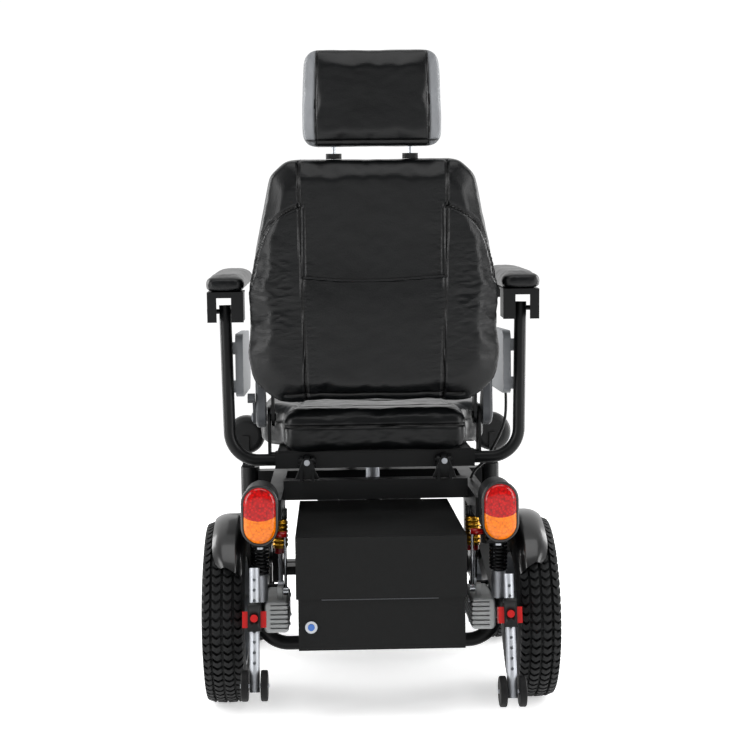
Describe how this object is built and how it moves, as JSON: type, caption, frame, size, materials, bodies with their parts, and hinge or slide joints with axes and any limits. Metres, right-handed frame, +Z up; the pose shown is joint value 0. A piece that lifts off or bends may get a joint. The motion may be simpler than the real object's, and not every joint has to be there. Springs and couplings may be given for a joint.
{
  "type": "power wheelchair",
  "caption": "Outdoor power wheelchair with tilting captain seat, reclining back, flip-up armrests, sprung rear axle, swivel front casters and anti-tip legs.",
  "frame": {"origin": "middle of the chair's outline on the ground", "axes": "+X to the user's right, +Y forwards, +Z up"},
  "size_m": [0.684, 1.0476, 1.2943],
  "materials": {
    "black_frame_paint": "satin",
    "black_box_paint": "fine texture",
    "black_moulded_plastic": "matt",
    "dark_grey_plastic": "matt",
    "light_grey_plastic": "matt",
    "glossy_black_plastic": "gloss",
    "black_leatherette": "semi-matt grain",
    "zinc_tube": "bright",
    "chrome_rod": "polished",
    "cast_aluminium": "cast",
    "painted_rim": "silver",
    "tyre_rubber": "matt",
    "small_wheel_rubber": "matt",
    "cable_rubber": "matt",
    "lens_red_amber": "clear gloss",
    "red_plastic": "gloss",
    "blue_button": "gloss",
    "gold_anodised": "anodised",
    "spring_steel": "gloss black",
    "battery_case": "matt"
  },
  "bodies": {
    "chassis": {"main_frame": "black_frame_paint", "battery_tray": "black_box_paint", "batteries": "battery_case", "motor_controller": "cast_aluminium", "button_bezel": "chrome_rod", "tail_light_housings": "black_moulded_plastic", "tail_light_lenses": "lens_red_amber", "shock_tops": "chrome_rod", "shock_springs": "spring_steel", "damper_bodies": "gold_anodised", "lift_actuator": "black_moulded_plastic", "headlights": "black_moulded_plastic"},
    "battery_cover": {"battery_cover": "black_box_paint"},
    "power_button": {"power_button": "blue_button"},
    "rear_axle": {"swing_arms": "black_frame_paint", "cradle_tube": "black_frame_paint", "drive_motors": "cast_aluminium", "fenders": "glossy_black_plastic", "antitip_sockets": "red_plastic", "shock_lower_ends": "zinc_tube"},
    "lift_rod": {"lift_rod": "zinc_tube"},
    "seat": {"seat_frame": "black_frame_paint", "seat_cushion": "black_leatherette", "armrest_posts": "black_frame_paint", "side_guards": "light_grey_plastic", "recliner_covers": "dark_grey_plastic", "joystick_cable": "cable_rubber"},
    "recline_lever": {"recline_lever": "dark_grey_plastic"},
    "backrest": {"seat_back": "black_leatherette", "back_arms": "black_frame_paint", "headrest_guides": "black_moulded_plastic"},
    "headrest": {"headrest": "black_leatherette", "headrest_posts": "chrome_rod"},
    "armrest_left": {"armrest_bracket_left": "black_frame_paint", "armrest_pad_left": "black_leatherette"},
    "armrest_right": {"armrest_bracket_right": "black_frame_paint", "armrest_pad_right": "black_leatherette", "joystick_housing": "black_moulded_plastic"},
    "joystick_stick": {"joystick_stick": "black_moulded_plastic"},
    "legrest": {"legrest_frame": "black_frame_paint", "calf_pads": "dark_grey_plastic"},
    "footplate": {"footplate": "black_moulded_plastic"},
    "drive_wheel_left": {"rear_tyre_left": "tyre_rubber", "rear_rim_left": "painted_rim"},
    "caster_fork_left": {"caster_fork_left": "black_frame_paint"},
    "caster_wheel_left": {"caster_tyre_left": "tyre_rubber", "caster_rim_left": "painted_rim"},
    "antitip_leg_left": {"antitip_leg_left": "zinc_tube"},
    "antitip_wheels_left": {"antitip_wheels_left": "small_wheel_rubber"},
    "socket_button_left": {"socket_button_left": "red_plastic"},
    "brake_lever_left": {"brake_lever_left": "chrome_rod"},
    "drive_wheel_right": {"rear_tyre_right": "tyre_rubber", "rear_rim_right": "painted_rim"},
    "caster_fork_right": {"caster_fork_right": "black_frame_paint"},
    "caster_wheel_right": {"caster_tyre_right": "tyre_rubber", "caster_rim_right": "painted_rim"},
    "antitip_leg_right": {"antitip_leg_right": "zinc_tube"},
    "antitip_wheels_right": {"antitip_wheels_right": "small_wheel_rubber"},
    "socket_button_right": {"socket_button_right": "red_plastic"},
    "brake_lever_right": {"brake_lever_right": "chrome_rod"}
  },
  "joints": [
    {"name": "battery_cover_slide", "type": "slide", "parent": "chassis", "child": "battery_cover", "axis": [0, -1, 0], "range_m": [0, 0.38]},
    {"name": "power_button_press", "type": "slide", "parent": "chassis", "child": "power_button", "axis": [0, 1, 0], "range_m": [0, 0.0025], "stiffness_N_per_m": 800, "springref_m": -0.002},
    {"name": "rear_suspension", "type": "hinge", "parent": "chassis", "child": "rear_axle", "pos_m": [0, -0.02619, 0.235], "axis": [-1, 0, 0], "range_deg": [0, 3], "stiffness_Nm_per_rad": 2500, "springref_deg": -11.46, "deforming": ["shock_springs"]},
    {"name": "seat_tilt", "type": "hinge", "parent": "chassis", "child": "seat", "pos_m": [0, -0.16619, 0.459], "axis": [1, 0, 0], "range_deg": [0, 20]},
    {"name": "lift_rod_travel", "type": "slide", "parent": "chassis", "child": "lift_rod", "axis": [0, 0, 1], "range_m": [0, 0.07]},
    {"name": "recline_lever_pull", "type": "hinge", "parent": "seat", "child": "recline_lever", "pos_m": [-0.25, -0.11119, 0.548], "axis": [1, 0, 0], "range_deg": [0, 20], "stiffness_Nm_per_rad": 1, "springref_deg": -17.19},
    {"name": "backrest_recline", "type": "hinge", "parent": "seat", "child": "backrest", "pos_m": [0, -0.11119, 0.548], "axis": [1, 0, 0], "range_deg": [-10, 22]},
    {"name": "headrest_height", "type": "slide", "parent": "backrest", "child": "headrest", "axis": [0, -0.0872, 0.9962], "range_m": [0, 0.06]},
    {"name": "armrest_left_flip", "type": "hinge", "parent": "seat", "child": "armrest_left", "pos_m": [-0.306, -0.13119, 0.77], "axis": [1, 0, 0], "range_deg": [0, 90]},
    {"name": "armrest_right_flip", "type": "hinge", "parent": "seat", "child": "armrest_right", "pos_m": [0.306, -0.13119, 0.77], "axis": [1, 0, 0], "range_deg": [0, 90]},
    {"name": "joystick_push", "type": "hinge", "parent": "armrest_right", "child": "joystick_stick", "pos_m": [0.306, 0.25698, 0.81178], "axis": [1, 0, 0], "range_deg": [-15, 15], "stiffness_Nm_per_rad": 0.6},
    {"name": "legrest_raise", "type": "hinge", "parent": "seat", "child": "legrest", "pos_m": [0, 0.33581, 0.452], "axis": [1, 0, 0], "range_deg": [0, 65]},
    {"name": "footplate_flip", "type": "hinge", "parent": "legrest", "child": "footplate", "pos_m": [0, 0.37381, 0.1], "axis": [1, 0, 0], "range_deg": [0, 80]},
    {"name": "drive_wheel_left_spin", "type": "hinge", "parent": "rear_axle", "child": "drive_wheel_left", "pos_m": [-0.3, -0.27619, 0.178], "axis": [1, 0, 0], "continuous": true},
    {"name": "caster_left_swivel", "type": "hinge", "parent": "chassis", "child": "caster_fork_left", "pos_m": [-0.281, 0.24381, 0.34], "axis": [0, 0, 1], "continuous": true},
    {"name": "caster_wheel_left_spin", "type": "hinge", "parent": "caster_fork_left", "child": "caster_wheel_left", "pos_m": [-0.281, 0.18881, 0.13], "axis": [1, 0, 0], "continuous": true},
    {"name": "antitip_leg_left_slide", "type": "slide", "parent": "rear_axle", "child": "antitip_leg_left", "axis": [0, -0.2419, -0.9703], "range_m": [-0.019, 0.038]},
    {"name": "antitip_wheels_left_spin", "type": "hinge", "parent": "antitip_leg_left", "child": "antitip_wheels_left", "pos_m": [-0.238, -0.49071, 0.08662], "axis": [1, 0, 0], "continuous": true},
    {"name": "socket_button_left_press", "type": "slide", "parent": "rear_axle", "child": "socket_button_left", "axis": [0, 0.9703, -0.2419], "range_m": [0, 0.0028], "stiffness_N_per_m": 800, "springref_m": -0.002},
    {"name": "brake_lever_left_turn", "type": "hinge", "parent": "rear_axle", "child": "brake_lever_left", "pos_m": [-0.184, -0.30619, 0.222], "axis": [-1, 0, 0], "range_deg": [0, 25]},
    {"name": "drive_wheel_right_spin", "type": "hinge", "parent": "rear_axle", "child": "drive_wheel_right", "pos_m": [0.3, -0.27619, 0.178], "axis": [1, 0, 0], "continuous": true},
    {"name": "caster_right_swivel", "type": "hinge", "parent": "chassis", "child": "caster_fork_right", "pos_m": [0.281, 0.24381, 0.34], "axis": [0, 0, 1], "continuous": true},
    {"name": "caster_wheel_right_spin", "type": "hinge", "parent": "caster_fork_right", "child": "caster_wheel_right", "pos_m": [0.281, 0.18881, 0.13], "axis": [1, 0, 0], "continuous": true},
    {"name": "antitip_leg_right_slide", "type": "slide", "parent": "rear_axle", "child": "antitip_leg_right", "axis": [0, -0.2419, -0.9703], "range_m": [-0.038, 0.019]},
    {"name": "antitip_wheels_right_spin", "type": "hinge", "parent": "antitip_leg_right", "child": "antitip_wheels_right", "pos_m": [0.238, -0.49531, 0.06819], "axis": [1, 0, 0], "continuous": true},
    {"name": "socket_button_right_press", "type": "slide", "parent": "rear_axle", "child": "socket_button_right", "axis": [0, 0.9703, -0.2419], "range_m": [0, 0.0028], "stiffness_N_per_m": 800, "springref_m": -0.002},
    {"name": "brake_lever_right_turn", "type": "hinge", "parent": "rear_axle", "child": "brake_lever_right", "pos_m": [0.184, -0.30619, 0.222], "axis": [-1, 0, 0], "range_deg": [0, 25]}
  ],
  "couplings": [
    {"joint": "lift_rod_travel", "follows": "seat_tilt", "m_per_rad": 0.2}
  ]
}
